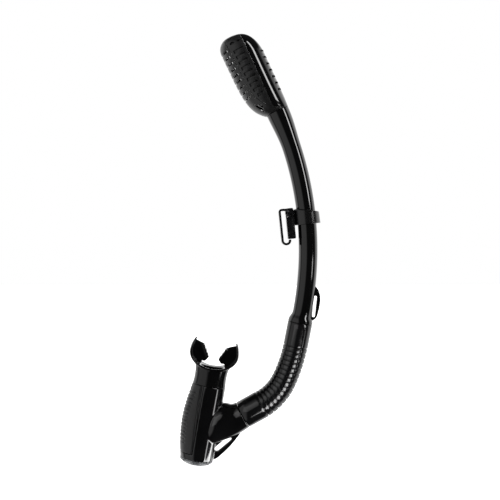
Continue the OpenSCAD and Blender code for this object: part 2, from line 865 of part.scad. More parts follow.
// ---------- mouthpiece ----------
bite_z = 112;
tip_z = 125;
module lip_curve(g) {
    polygon([for (t = [0:6:354])
        [(flange_half - g) * cos(t), bite_z + (sin(t) < 0 ? 19 - g : 24) * sin(t)]]);
}
module lug(p, q) {
    d = q - p;
    plate(13)
        translate(p)
            rotate([0, 0, atan2(d[1], d[0])])
                square([norm(d), 2.4]);
}
module mouthpiece() {
    color([0.02, 0.02, 0.02]) in_body()
        difference() {
            union() {
                loft([for (i = [0:5]) let (u = i / 5, z = body_h + 0.15 + 17 * u)
                    [[-body_r + 0.6 * sin(180 * u), z], [body_r - 0.6 * sin(180 * u), z], neck_ry - 1.4 * u]], 40);
                intersection() {
                    plate(big)
                        difference() {
                            lip_curve(0);
                            lip_curve(2.2);
                            translate([-60, tip_z])
                                square([120, 40]);
                        }
                    rotate([90, 0, 90])
                        linear_extrude(height = 100, center = true)
                            union() {
                                translate([-flange_depth / 2, 80])
                                    square([flange_depth, tip_z - 90]);
                                translate([0, tip_z - 10])
                                    scale([flange_depth / 20, 1])
                                        circle(r = 10);
                            }
                }
                plate(3.2)
                    intersection() {
                        lip_curve(1);
                        union() {
                            polygon([[-24, 120.6], [-12.6, 119.4], [-4.9, 106.6], [-10, 99.4], [-26, 96]]);
                            polygon([[24, 120.6], [11.6, 118.6], [4.9, 105.6], [9.4, 99.2], [26, 96]]);
                        }
                    }
                lug([-4.7, 106.2], [-12.2, 119.6]);
                lug([11.2, 118.6], [4.7, 105.2]);
            }
            translate([0, 0, body_h - 2])
                scale([1, 0.82, 1])
                    cylinder(r = 14.62, h = 10.2);
            translate([0, 0, body_h])
                scale([1, 0.62, 1])
                    cylinder(r = 12.2, h = 24);
        }
}

front_grille();
side_cowl();
spine_cover();
valve_frame();
seal_pad();
valve_lever();
lever_pin();
float();
float_cap();
float_pin();
head_o_ring();
barrel();
keeper_collar();
clip_block();
strap_hook();
hook_pin();
corrugated_hose();
swivel_coupling();
swivel_ring();
purge_housing();
grip_cover();
mouthpiece();
purge_seat();
purge_valve();
purge_cover();
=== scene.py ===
"""Dry-top snorkel tube: smooth moulded pieces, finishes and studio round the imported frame."""

import json
import math

import bmesh
import bpy
from mathutils import Matrix, Vector

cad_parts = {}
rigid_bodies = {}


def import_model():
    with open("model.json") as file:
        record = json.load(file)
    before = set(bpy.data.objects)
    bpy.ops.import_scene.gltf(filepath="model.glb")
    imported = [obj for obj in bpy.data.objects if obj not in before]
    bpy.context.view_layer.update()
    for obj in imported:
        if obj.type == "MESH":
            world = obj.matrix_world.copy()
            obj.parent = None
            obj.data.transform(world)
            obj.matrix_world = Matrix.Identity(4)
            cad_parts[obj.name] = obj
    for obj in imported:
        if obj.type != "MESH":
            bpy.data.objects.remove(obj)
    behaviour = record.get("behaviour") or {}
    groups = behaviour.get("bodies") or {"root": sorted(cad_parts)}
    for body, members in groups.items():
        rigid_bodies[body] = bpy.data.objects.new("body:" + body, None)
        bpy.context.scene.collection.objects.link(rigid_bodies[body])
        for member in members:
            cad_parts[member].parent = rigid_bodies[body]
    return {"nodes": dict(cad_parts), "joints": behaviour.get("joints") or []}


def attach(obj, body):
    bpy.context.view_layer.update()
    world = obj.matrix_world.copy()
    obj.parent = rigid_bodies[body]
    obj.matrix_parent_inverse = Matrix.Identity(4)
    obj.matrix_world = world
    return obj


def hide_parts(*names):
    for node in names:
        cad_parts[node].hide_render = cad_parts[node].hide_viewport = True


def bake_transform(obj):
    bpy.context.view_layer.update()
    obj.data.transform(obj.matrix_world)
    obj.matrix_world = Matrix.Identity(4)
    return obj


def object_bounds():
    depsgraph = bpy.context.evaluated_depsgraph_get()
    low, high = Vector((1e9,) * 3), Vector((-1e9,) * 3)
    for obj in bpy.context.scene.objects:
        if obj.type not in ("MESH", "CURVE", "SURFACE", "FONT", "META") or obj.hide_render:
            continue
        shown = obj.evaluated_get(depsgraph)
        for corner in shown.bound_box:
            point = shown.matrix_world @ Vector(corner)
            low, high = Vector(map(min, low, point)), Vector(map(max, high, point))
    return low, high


for leftover in list(bpy.data.objects):
    bpy.data.objects.remove(leftover)
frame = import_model()
cad_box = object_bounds()
MM = 0.001
JOINTS = {j["name"]: j for j in frame["joints"]}


# ---------- places, in millimetres, from the frame's joints ----------
def joint_place(name):
    """A joint's place in the XZ plane, in millimetres."""
    p = JOINTS[name]["pos_m"]
    return p[0] / MM, p[2] / MM


def joint_tilt(name, sign=1):
    """Angle from +Z to a joint's axis, in degrees."""
    a = JOINTS[name]["axis"]
    return math.degrees(math.atan2(sign * a[0], sign * a[2]))


ARC_X, ARC_Z = joint_place("keeper_slide")
BEND_R = 345.0
HEAD_ANGLE = 24.8
FLARE_ANGLE = 18.0
TAIL_ANGLE = 11.13
KEEPER_ANGLE = 5.9
BARREL_R = 10.0
BORE_R = 8.0
RIM_R = 12.3
SKIRT = 10.0
CUFF_R = 13.0
CUFF = 22.0
LOW_CUFF = 21.0
LOW_CUFF_R = 14.6
RIBS = 16
RIB_DEPTH = 1.5
HOSE_R1, HOSE_R2 = 166.2, 58.0
HOSE_MID_ANGLE = 25.0
BRANCH = joint_place("mouth_swivel")
BRANCH_ANGLE = joint_tilt("mouth_swivel")
BRANCH_R = 14.6
BODY = (-92.15, -241.7)
BODY_TILT = joint_tilt("purge_lift", -1)
BODY_H = 77.5
BODY_R = 17.4
BODY_BULGE = 4.9
NECK_RY = 15.0
GRIP_T = 1.6
GRIP_EDGE = -4.7
GRIP_BASE = 6.2


def arc_point(deg, radius=BEND_R):
    """A point on the barrel's centre line, at deg above its apex."""
    a = math.radians(deg)
    return ARC_X + radius * math.cos(a), ARC_Z + radius * math.sin(a)


def along(p, deg, length):
    """p moved down a line tilted by deg from vertical."""
    a = math.radians(deg)
    return p[0] - length * math.sin(a), p[1] - length * math.cos(a)


def turned(p, radius, a0, a1):
    """p carried along an arc whose line turns from tilt a0 to a1."""
    r0, r1 = math.radians(a0), math.radians(a1)
    return p[0] + radius * (math.cos(r1) - math.cos(r0)), p[1] - radius * (math.sin(r1) - math.sin(r0))


HOSE_P = along(arc_point(-TAIL_ANGLE), TAIL_ANGLE, SKIRT)
HOSE_TOP = along(HOSE_P, TAIL_ANGLE, CUFF)
HOSE_MID = turned(HOSE_TOP, HOSE_R1, TAIL_ANGLE, HOSE_MID_ANGLE)
HOSE_END = turned(HOSE_MID, HOSE_R2, HOSE_MID_ANGLE, BRANCH_ANGLE)


def local(p, deg):
    """Matrix from a part's own frame, in millimetres, to the row frame, in metres."""
    turn = Matrix.Rotation(math.radians(deg), 4, "Y")
    return Matrix.Translation((p[0] * MM, 0, p[1] * MM)) @ turn @ Matrix.Scale(MM, 4)


IN_ROW = Matrix.Scale(MM, 4)
IN_HEAD = local(arc_point(HEAD_ANGLE), -HEAD_ANGLE)
IN_KEEPER = local(arc_point(KEEPER_ANGLE), -KEEPER_ANGLE)
IN_BRANCH = local(BRANCH, BRANCH_ANGLE)
IN_BODY = local(BODY, BODY_TILT)
IN_ROOT = local(BODY, 0)


# ---------- mesh tools ----------
def add_mesh(name, verts, faces, place=IN_ROW):
    mesh = bpy.data.meshes.new(name)
    mesh.from_pydata([place @ Vector(v) for v in verts], [], faces)
    bm = bmesh.new()
    bm.from_mesh(mesh)
    bmesh.ops.remove_doubles(bm, verts=bm.verts, dist=1e-6)
    bmesh.ops.recalc_face_normals(bm, faces=bm.faces)
    bm.to_mesh(mesh)
    bm.free()
    obj = bpy.data.objects.new(name, mesh)
    bpy.context.scene.collection.objects.link(obj)
    return obj


def loft(name, rings, place=IN_ROW, hollow=False):
    """Skin over rings of equal count. Hollow joins the last ring to the first; otherwise both ends close."""
    n, m = len(rings[0]), len(rings)
    faces = []
    for i in range(m if hollow else m - 1):
        a, b = i * n, (i + 1) % m * n
        faces += [(a + k, a + (k + 1) % n, b + (k + 1) % n, b + k) for k in range(n)]
    if not hollow:
        faces += [tuple(range(n)), tuple((m - 1) * n + k for k in range(n))]
    return add_mesh(name, [v for ring in rings for v in ring], faces, place)


def prism(name, outline, half, place=IN_ROW):
    """An XZ outline extruded to half either side of Y = 0."""
    n = len(outline)
    verts = [(x, y, z) for y in (-half, half) for x, z in outline]
    faces = [tuple(range(n)), tuple(range(n, 2 * n))]
    faces += [(k, (k + 1) % n, n + (k + 1) % n, n + k) for k in range(n)]
    return add_mesh(name, verts, faces, place)


def slab(name, x0, x1, y0, y1, z0, z1, place=IN_ROW):
    verts = [(x, y, z) for x in (x0, x1) for y in (y0, y1) for z in (z0, z1)]
    faces = [(0, 1, 3, 2), (4, 6, 7, 5), (0, 4, 5, 1), (2, 3, 7, 6), (0, 2, 6, 4), (1, 5, 7, 3)]
    return add_mesh(name, verts, faces, place)


def rod(name, x, z, radius, y0, y1, place=IN_ROW, sides=32):
    """A pin across the part, between two Y values."""
    circle = [(x + radius * math.cos(t), z + radius * math.sin(t)) for t in turns(sides)]
    obj = prism(name, circle, (y1 - y0) / 2, place)
    obj.data.transform(Matrix.Translation((0, (y0 + y1) / 2 * MM, 0)))
    return obj


def turns(n):
    return [2 * math.pi * k / n for k in range(n)]


def circle_ring(r, z, n, ry=None):
    return [(r * math.cos(t), (r if ry is None else ry) * math.sin(t), z) for t in turns(n)]


def oval_ring(left, right, half, n):
    """Ring between a left and a right point of the XZ plane, half deep in Y."""
    mx, hx = (left[0] + right[0]) / 2, (right[0] - left[0]) / 2
    mz, hz = (left[1] + right[1]) / 2, (right[1] - left[1]) / 2
    return [(mx + hx * math.cos(t), half * math.sin(t), mz + hz * math.cos(t)) for t in turns(n)]


def tilted_ring(p, deg, radius, n):
    """Round ring at p across a line tilted by deg from vertical."""
    a = math.radians(deg)
    c, s = radius * math.cos(a), radius * math.sin(a)
    return oval_ring((p[0] - c, p[1] + s), (p[0] + c, p[1] - s), radius, n)


def smooth_line(points, steps=6):
    """Catmull-Rom line through points."""
    out = []
    ends = [points[0], *points, points[-1]]
    for a, b, c, d in zip(ends, ends[1:], ends[2:], ends[3:]):
        for k in range(steps):
            t = k / steps
            out.append(tuple(0.5 * (2 * b[i] + (c[i] - a[i]) * t
                                     + (2 * a[i] - 5 * b[i] + 4 * c[i] - d[i]) * t * t
                                    + (3 * b[i] - a[i] - 3 * c[i] + d[i]) * t ** 3) for i in (0, 1)))
    return out + [points[-1]]


def join(name, objs):
    """One object from several, their meshes kept as they are."""
    bm = bmesh.new()
    for o in objs:
        bm.from_mesh(o.data)
    mesh = bpy.data.meshes.new(name)
    bm.to_mesh(mesh)
    bm.free()
    for o in objs:
        bpy.data.objects.remove(o)
    obj = bpy.data.objects.new(name, mesh)
    bpy.context.scene.collection.objects.link(obj)
    return obj


def bake_modifiers(obj):
    graph = bpy.context.evaluated_depsgraph_get()
    mesh = bpy.data.meshes.new_from_object(obj.evaluated_get(graph))
    obj.modifiers.clear()
    obj.data = mesh
    return obj


def combine(obj, other, operation):
    """Boolean of obj with other, which is used up."""
    mod = obj.modifiers.new("cut", "BOOLEAN")
    mod.operation = operation
    mod.solver = "EXACT"
    mod.object = other
    bake_modifiers(obj)
    bpy.data.objects.remove(other)
    return obj


def moulded(obj, voxel, passes):
    """Remeshes obj evenly and rounds its corners, as a mould's radii do."""
    mod = obj.modifiers.new("even", "REMESH")
    mod.mode = "VOXEL"
    mod.voxel_size = voxel * MM
    mod = obj.modifiers.new("soften", "SMOOTH")
    mod.factor = 0.5
    mod.iterations = passes
    return bake_modifiers(obj)


def rounded(obj, width, angle=35, segments=2):
    """Small radius on every edge sharper than angle."""
    mod = obj.modifiers.new("radius", "BEVEL")
    mod.width = width * MM
    mod.segments = segments
    mod.limit_method = "ANGLE"
    mod.angle_limit = math.radians(angle)
    mod.use_clamp_overlap = True
    return bake_modifiers(obj)


def dress(obj, material, sharp=40):
    obj.data.materials.clear()
    obj.data.materials.append(material)
    obj.data.polygons.foreach_set("use_smooth", [True] * len(obj.data.polygons))
    obj.data.set_sharp_from_angle(angle=math.radians(sharp))
    return obj


def place_piece(obj, name, body, material, nodes, sharp=40):
    obj.name = name
    dress(obj, material, sharp)
    if body:
        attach(obj, body)
    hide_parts(*nodes)
    return obj


# ---------- materials ----------
def shader(name):
    mat = bpy.data.materials.new(name)
    mat.use_nodes = True
    tree = mat.node_tree
    return mat, tree, tree.nodes["Principled BSDF"]


def noise(tree, scale, detail=4.0, stretch=(1, 1, 1)):
    """Noise in object space, scale in features per metre."""
    coords = tree.nodes.new("ShaderNodeTexCoord")
    mapping = tree.nodes.new("ShaderNodeMapping")
    mapping.inputs["Scale"].default_value = stretch
    tex = tree.nodes.new("ShaderNodeTexNoise")
    tex.inputs["Scale"].default_value = scale
    tex.inputs["Detail"].default_value = detail
    tree.links.new(coords.outputs["Object"], mapping.inputs["Vector"])
    tree.links.new(mapping.outputs["Vector"], tex.inputs["Vector"])
    return tex.outputs["Fac"]


def spread(tree, value, low, high, start=0.3, end=0.7):
    """Maps a noise value onto a range."""
    node = tree.nodes.new("ShaderNodeMapRange")
    for key, number in (("From Min", start), ("From Max", end), ("To Min", low), ("To Max", high)):
        node.inputs[key].default_value = number
    tree.links.new(value, node.inputs["Value"])
    return node.outputs["Result"]


def two_tone(tree, value, dark, light):
    ramp = tree.nodes.new("ShaderNodeValToRGB")
    ramp.color_ramp.elements[0].position = 0.35
    ramp.color_ramp.elements[1].position = 0.68
    ramp.color_ramp.elements[0].color = (*dark, 1)
    ramp.color_ramp.elements[1].color = (*light, 1)
    tree.links.new(value, ramp.inputs["Fac"])
    return ramp.outputs["Color"]


def edge_wear(tree, amount):
    """1 on worn convex edges, broken up by noise."""
    geo = tree.nodes.new("ShaderNodeNewGeometry")
    edge = spread(tree, geo.outputs["Pointiness"], 0, amount, 0.53, 0.60)
    patch = spread(tree, noise(tree, 220), 0, 1, 0.45, 0.6)
    mult = tree.nodes.new("ShaderNodeMath")
    mult.operation = "MULTIPLY"
    tree.links.new(edge, mult.inputs[0])
    tree.links.new(patch, mult.inputs[1])
    return mult.outputs[0]


def added(tree, a, b):
    node = tree.nodes.new("ShaderNodeMath")
    node.operation = "ADD"
    tree.links.new(a, node.inputs[0])
    tree.links.new(b, node.inputs[1])
    return node.outputs[0]


def plastic(name, dark, light, rough, grain, grain_depth, wave=0.0, wear=0.0, coat=0.0, ior=1.5):
    """Moulded plastic or rubber: cloudy colour, uneven polish, grain, faint sink waves and worn edges."""
    mat, tree, bsdf = shader(name)
    cloud = noise(tree, 45)
    tree.links.new(two_tone(tree, cloud, dark, light), bsdf.inputs["Base Color"])
    polish = spread(tree, noise(tree, 160, 6.0), rough[0], rough[1])
    if wear:
        polish = added(tree, polish, edge_wear(tree, wear))
    tree.links.new(polish, bsdf.inputs["Roughness"])
    bsdf.inputs["IOR"].default_value = ior
    bsdf.inputs["Coat Weight"].default_value = coat
    bsdf.inputs["Coat Roughness"].default_value = 0.04
    fine = tree.nodes.new("ShaderNodeBump")
    fine.inputs["Distance"].default_value = grain_depth * MM
    fine.inputs["Strength"].default_value = 0.6
    tree.links.new(noise(tree, grain, 2.0), fine.inputs["Height"])
    last = fine
    if wave:
        broad = tree.nodes.new("ShaderNodeBump")
        broad.inputs["Distance"].default_value = wave * MM
        broad.inputs["Strength"].default_value = 0.5
        tree.links.new(noise(tree, 60, 1.0), broad.inputs["Height"])
        tree.links.new(fine.outputs["Normal"], broad.inputs["Normal"])
        last = broad
    tree.links.new(last.outputs["Normal"], bsdf.inputs["Normal"])
    return mat


def steel(name):
    mat, tree, bsdf = shader(name)
    tree.links.new(two_tone(tree, noise(tree, 400), (0.52, 0.53, 0.55), (0.66, 0.67, 0.69)),
                   bsdf.inputs["Base Color"])
    bsdf.inputs["Metallic"].default_value = 1.0
    tree.links.new(spread(tree, noise(tree, 900, 3.0, (1, 6, 1)), 0.18, 0.34), bsdf.inputs["Roughness"])
    bump = tree.nodes.new("ShaderNodeBump")
    bump.inputs["Distance"].default_value = 0.01 * MM
    tree.links.new(noise(tree, 2500, 2.0, (1, 0.1, 1)), bump.inputs["Height"])
    tree.links.new(bump.outputs["Normal"], bsdf.inputs["Normal"])
    return mat


def clear(name, tint_a, tint_b, rough, transmission, ior):
    mat, tree, bsdf = shader(name)
    tree.links.new(two_tone(tree, noise(tree, 80), tint_a, tint_b), bsdf.inputs["Base Color"])
    bsdf.inputs["Transmission Weight"].default_value = transmission
    bsdf.inputs["IOR"].default_value = ior
    tree.links.new(spread(tree, noise(tree, 300, 5.0), rough[0], rough[1]), bsdf.inputs["Roughness"])
    bump = tree.nodes.new("ShaderNodeBump")
    bump.inputs["Distance"].default_value = 0.02 * MM
    tree.links.new(noise(tree, 500, 2.0), bump.inputs["Height"])
    tree.links.new(bump.outputs["Normal"], bsdf.inputs["Normal"])
    return mat


MATERIALS = {
    "satin_black": plastic("satin_black", (0.010, 0.010, 0.0105), (0.015, 0.015, 0.0155), (0.30, 0.38),
                           2600, 0.015,
                           wear=0.05),
    "gloss_black": plastic("gloss_black", (0.0012, 0.0012, 0.0014), (0.0025, 0.0025, 0.0028), (0.04, 0.08),
                           1500,
                           0.0006, wave=0.003, wear=0.06),
    "clip_black": plastic("clip_black", (0.003, 0.003, 0.0035), (0.006, 0.006, 0.0065), (0.16, 0.26), 2200,
                          0.003,
                          wear=0.10),
    "silicone_black": plastic("silicone_black", (0.0015, 0.0015, 0.0018), (0.003, 0.003, 0.0033),
                              (0.08, 0.14), 1800,
                              0.0012, wave=0.004, ior=1.43),
    "grip_rubber": plastic("grip_rubber", (0.007, 0.007, 0.0075), (0.011, 0.011, 0.0115), (0.40, 0.50),
                           2400, 0.03,
                           wear=0.08),
    "frame_grey": plastic("frame_grey", (0.012, 0.012, 0.013), (0.020, 0.020, 0.022), (0.35, 0.45), 1800,
                          0.02),
    "float_white": plastic("float_white", (0.50, 0.51, 0.49), (0.60, 0.60, 0.57), (0.40, 0.50), 1600, 0.02,
                           wave=0.02),
    "seal_rubber": plastic("seal_rubber", (0.010, 0.010, 0.010), (0.018, 0.018, 0.018), (0.55, 0.68), 2200,
                           0.02),
    "pin_steel": steel("pin_steel"),
    "valve_silicone": clear("valve_silicone", (0.35, 0.36, 0.36), (0.45, 0.46, 0.46), (0.22, 0.32), 0.35,
                            1.41),
    "clear_cover": clear("clear_cover", (0.30, 0.31, 0.32), (0.38, 0.39, 0.40), (0.03, 0.09), 0.8, 1.49),
}


# ---------- head ----------
HEAD_LEFT, HEAD_RIGHT, HEAD_R = -28.9, 13.3, 20.4
HEAD_TOP_STRAIGHT = 50.0
DOME_Z, DOME_R = 79.2, 12.3
BACK_Z, BACK_A, BACK_B = 62.0, 17.0, 28.4
SHELL = 2.0
SEAM = 0.5
SPLIT_X, SPINE_X = -20.0, -3.4
SLOT_FIRST, SLOT_PITCH, SLOT_GAP = 24.6, 6.54, 2.4
LOUVRE_FIRST, LOUVRE_PITCH = 21.6, 6.26


def head_side(z, t):
    """[left, right, half depth] of the head's section at height z, t inside the skin."""
    s = 1 - math.exp(-z / 12.0)
    left = (-RIM_R + t + (HEAD_LEFT + RIM_R) * s, z)
    right = (RIM_R - t + (HEAD_RIGHT - RIM_R) * s, z)
    return left, right, RIM_R - t + (HEAD_R - RIM_R) * s


def head_dome(a, t):
    c, s = math.cos(a), math.sin(a)
    return ((HEAD_LEFT + DOME_R - (DOME_R - t) * c, DOME_Z + (DOME_R - t) * s),
            (HEAD_RIGHT - BACK_A + (BACK_A - t) * c, BACK_Z + (BACK_B - t) * s),
            (HEAD_R - t) * c ** 0.62)


def head_rings(t, base, n=120):
    low, high = head_side(HEAD_TOP_STRAIGHT, t), head_dome(0, t)
    stations = [head_side(base + (HEAD_TOP_STRAIGHT - base) * (i / 26) ** 1.5, t) for i in range(27)]
    for i in range(1, 8):
        u = i / 8
        stations.append(tuple(tuple(a + (b - a) * u for a, b in zip(p, q)) if isinstance(p, tuple)
                              else p + (q - p) * u for p, q in zip(low, high)))
    stations += [head_dome(math.radians(89.2) * math.sin(math.pi / 2 * i / 26), t) for i in range(27)]
    return [oval_ring(*s, n) for s in stations]


def head_skin(name, t_out=0.0, t_in=SHELL, base=SEAM):
    """The head's whole wall, closed at the dome and open at the seam."""
    outer, inner = head_rings(t_out, base), head_rings(t_in, base)
    n, m = len(outer[0]), len(outer)
    verts = [v for ring in outer + inner for v in ring]
    faces = []
    for first in (0, m * n):
        for i in range(m - 1):
            a, b = first + i * n, first + (i + 1) * n
            faces += [(a + k, a + (k + 1) % n, b + (k + 1) % n, b + k) for k in range(n)]
        faces.append(tuple(first + (m - 1) * n + k for k in range(n)))
    faces += [(k, (k + 1) % n, m * n + (k + 1) % n, m * n + k) for k in range(n)]
    return add_mesh(name, verts, faces, IN_HEAD)


def front_outline(shift):
    """Outline of everything in front of the parting line, moved right by shift."""
    curve = smooth_line([(4, 2.2), (-1.5, 4.4), (-5.2, 6.9), (-9, 10.3), (-12.3, 14.2), (-15, 18.4),
                         (-17.2, 23.4),
                         (-18.6, 30), (-19.3, 40), (SPLIT_X, 60), (SPLIT_X - 0.6, 80)])
    return [(x + shift, z) for x, z in [(-60, -20), (24, -5.5), *curve, (SPLIT_X - 0.6, 110), (-60, 110)]]


def row_shift(i):
    """How far the lower louvre rows step in from the parting line."""
    return 3.9 * math.exp(-i / 1.4)


def rows(count, first=SLOT_FIRST, pitch=SLOT_PITCH):
    return [first + i * pitch for i in range(count)]


def front_shell():
    obj = combine(head_skin("front_shell"), prism("keep", front_outline(-SEAM / 2), 40, IN_HEAD),
                  "INTERSECT")
    cuts = [slab("slot", -34, -19.5, -14.5, 14.5, z - SLOT_GAP / 2, z + SLOT_GAP / 2, IN_HEAD)
            for z in rows(9)]
    drain = [(-21.3, 15.9), (-12.9, 11.2), (-13.8, 3.9)]
    for side in (-1, 1):
        cut = prism("drain", drain, 10, IN_HEAD)
        cut.data.transform(Matrix.Translation((0, side * 15 * MM, 0)))
        cuts.append(cut)
    combine(obj, join("cuts", cuts), "DIFFERENCE")
    return place_piece(rounded(obj, 0.3), "front_shell", "barrel", MATERIALS["satin_black"],
                       ["front_grille"])


def side_shell():
    obj = combine(head_skin("side_shell"), prism("front", front_outline(SEAM / 2), 42, IN_HEAD),
                  "DIFFERENCE")
    combine(obj, slab("spine", SPINE_X - SEAM / 2, 60, -43, 43, -30, 120, IN_HEAD), "DIFFERENCE")
    cuts = []
    for i, z in enumerate(rows(9, LOUVRE_FIRST, LOUVRE_PITCH)):
        x = row_shift(i)
        for y0, y1 in ((-30, -7), (7, 30)):
            cuts.append(slab("square", x - 17.4, x - 13.6, y0, y1, z - 1.7, z + 1.7, IN_HEAD))
            cuts.append(slab("slit", x - 13.8, -7.3, y0 + 0.1, y1 - 0.1, z + 0.8, z + 1.6, IN_HEAD))
            cuts.append(slab("end", -8.4, -7.0, y0 + 0.2, y1 - 0.2, z + 0.5, z + 2.1, IN_HEAD))
    recess = combine(head_skin("recess", -2.0, 1.6), united(cuts), "INTERSECT")
    combine(obj, recess, "DIFFERENCE")
    holes = []
    for y0, y1 in ((-30, -4), (4, 30)):
        oval = rod("oval", 0, 0, 1.0, y0, y1)
        oval.data.transform(IN_HEAD @ Matrix.Translation((-15.0, 0, 81.2))
                            @ Matrix.Diagonal((2.6, 1, 1.7, 1))
                            @ Matrix.Scale(1 / MM, 4))
        holes += [oval, slab("notch", -9.4, -6.2, y0, y1, 80.6, 82.0, IN_HEAD)]
    combine(obj, combine(head_skin("recess", -2.0, 1.6), join("holes", holes), "INTERSECT"), "DIFFERENCE")
    rounded(obj, 0.15)
    plates = combine(head_skin("plates", -0.55, 0.5), louvre_boxes(), "INTERSECT")
    rounded(plates, 0.3)
    obj = join("side_shell", [obj, plates])
    return place_piece(obj, "side_shell", "barrel", MATERIALS["satin_black"], ["side_cowl"])


def louvre_boxes():
    boxes = []
    for i, z in enumerate(rows(8, LOUVRE_FIRST, LOUVRE_PITCH)):
        for y0, y1 in ((-30, -6), (6, 30)):
            boxes.append(slab("plate", row_shift(i) - 13.0, -6.3, y0, y1, z + 2.3, z + 6.5, IN_HEAD))
    return join("plate_boxes", boxes)


def united(objs):
    """Overlapping cutters joined into one solid."""
    first = objs[0]
    rest = join("rest", objs[1:])
    mod = first.modifiers.new("join", "BOOLEAN")
    mod.operation = "UNION"
    mod.solver = "EXACT"
    mod.use_self = True
    mod.object = rest
    bake_modifiers(first)
    bpy.data.objects.remove(rest)
    return first


def spine_shell():
    obj = combine(head_skin("spine_shell"),
                  slab("keep", SPINE_X + SEAM / 2, 60, -41, 41, -30, 120, IN_HEAD),
                  "INTERSECT")
    combine(obj, prism("front", front_outline(SEAM / 2), 43, IN_HEAD), "DIFFERENCE")
    cuts = [slab("slot", 8.6, 15.4, s * 9.2 - 4.6, s * 9.2 + 4.6, z - 0.95, z + 0.95, IN_HEAD)
            for z in rows(7, 19.8, 7.3) for s in (-1, 1)]
    combine(obj, join("cuts", cuts), "DIFFERENCE")
    return place_piece(rounded(obj, 0.3), "spine_band", "barrel", MATERIALS["gloss_black"],
                       ["spine_cover"])


# ---------- barrel ----------
def barrel_tube(n=112):
    rings = []
    for r, z in [(CUFF_R - 0.3, 0.0), (CUFF_R, 0.3), (CUFF_R, 1.6), (12.85, 2.8), (12.5, 4.0), (11.95, 5.3),
                 (11.3, 6.6), (10.75, 7.9), (10.3, 9.2), (10.08, 10.4)]:
        p = along(HOSE_P, TAIL_ANGLE, -z)
        rings.append(tilted_ring(p, TAIL_ANGLE, r, n))
    steps = 78
    for i in range(1, steps + 1):
        deg = -TAIL_ANGLE + (HEAD_ANGLE + TAIL_ANGLE) * i / steps
        u = max(0.0, (deg - FLARE_ANGLE) / (HEAD_ANGLE - FLARE_ANGLE))
        r = BARREL_R + (RIM_R - BARREL_R) * u * u * (3 - 2 * u)
        if i == steps:
            rings.append(tilted_ring(arc_point(HEAD_ANGLE - 0.05), -HEAD_ANGLE, r, n))
            r -= 0.3
        rings.append(tilted_ring(arc_point(deg), -deg, r, n))
    for deg, r in [(HEAD_ANGLE, 10.0), (HEAD_ANGLE - 1.4, 10.0), (HEAD_ANGLE - 1.45, BORE_R)]:
        rings.append(tilted_ring(arc_point(deg), -deg, r, n))
    for i in range(40, -1, -1):
        deg = -TAIL_ANGLE + (HEAD_ANGLE - 1.5 + TAIL_ANGLE) * i / 40
        rings.append(tilted_ring(arc_point(deg), -deg, BORE_R, n))
    for r, z in [(BORE_R, 0), (BORE_R, -19), (10.4, -19), (10.4, 0)]:
        rings.append(tilted_ring(along(HOSE_P, TAIL_ANGLE, -z), TAIL_ANGLE, r, n))
    return loft("barrel_tube", rings, hollow=True)


def lanyard_fin():
    """Flat fin with a long slot, drawn from the barrel's apex."""
    apex = local((ARC_X + BEND_R, ARC_Z), 0)
    edge = smooth_line([(2.0, -29), (7.6, -37.4), (11.0, -42.8), (12.7, -49.5), (12.4, -56), (11.0, -63.4),
                        (8.8, -70.4), (5.6, -73.6), (2.4, -74.4)])
    fin = prism("fin", [*edge, (-5.6, -74), (-3.6, -29)], 1.5, apex)
    combine(fin, prism("eye", slot_outline((7.6, -49.6), (5.6, -69), 1.5), 4, apex), "DIFFERENCE")
    return rounded(fin, 0.55, segments=3)


def slot_outline(p, q, r, n=12):
    """Round-ended slot between two points."""
    a = math.atan2(q[1] - p[1], q[0] - p[0])
    ends = [(q, a - math.pi / 2), (p, a + math.pi / 2)]
    return [(c[0] + r * math.cos(t0 + math.pi * k / n), c[1] + r * math.sin(t0 + math.pi * k / n))
            for c, t0 in ends for k in range(n + 1)]


def barrel():
    obj = barrel_tube()
    fin = lanyard_fin()
    cap = [tilted_ring(arc_point(d), -d, BARREL_R - 0.6, 64)
           for d in [-TAIL_ANGLE - 3 + 0.5 * i for i in range(26)]]
    combine(fin, loft("core", cap), "DIFFERENCE")
    combine(obj, fin, "UNION")
    return place_piece(obj, "barrel_tube", "barrel", MATERIALS["gloss_black"], ["barrel"],
                       sharp=32)


# ---------- keeper ----------
COLLAR_DROP = 4.6


def keeper_ring():
    n = 112
    rings = []
    half = 8.7
    outer = [(-half, -0.7), (-half + 0.25, -0.2), (-half + 0.8, 0), (-4, 0), (0, 0), (4, 0),
             (half - 1.6, 0),
             (half - 0.9, -0.35), (half - 0.3, -0.9), (half, -1.6)]
    for z, dr in outer:
        ring = []
        for t in turns(n):
            away = math.degrees(math.atan2(math.sin(t), math.cos(t)))
            bulge = 0.95 * math.exp(-(away / 30) ** 2) * (0.75 - 0.25 * z / half)
            r = 13.15 + dr + bulge
            drop = COLLAR_DROP * (1 + math.cos(t)) / 2 if z > 0 else 0.0
            ring.append((r * math.cos(t), r * math.sin(t), z * (1 - drop / half)))
        rings.append(ring)
    top = [(10.3 * math.cos(t), 10.3 * math.sin(t),
            half - COLLAR_DROP * (1 + math.cos(t)) / 2)
           for t in turns(n)]
    rings += [top, circle_ring(10.3, -half, n)]
    obj = loft("ring", rings, IN_KEEPER, hollow=True)
    lug = rounded(slab("lug", -13.7, -10.9, -5, 5, -7.7, 7.7, IN_KEEPER), 0.3)
    combine(obj, lug, "UNION")
    slits = [slab("slit", 6.9, 7.5, y0, y1, -6.2, 3.6, IN_KEEPER) for y0, y1 in ((-14, -11.1), (11.1, 14))]
    combine(obj, join("slits", slits), "DIFFERENCE")
    return place_piece(obj, "keeper_collar_ring", "keeper", MATERIALS["clip_black"],
                       ["keeper_collar"], sharp=30)


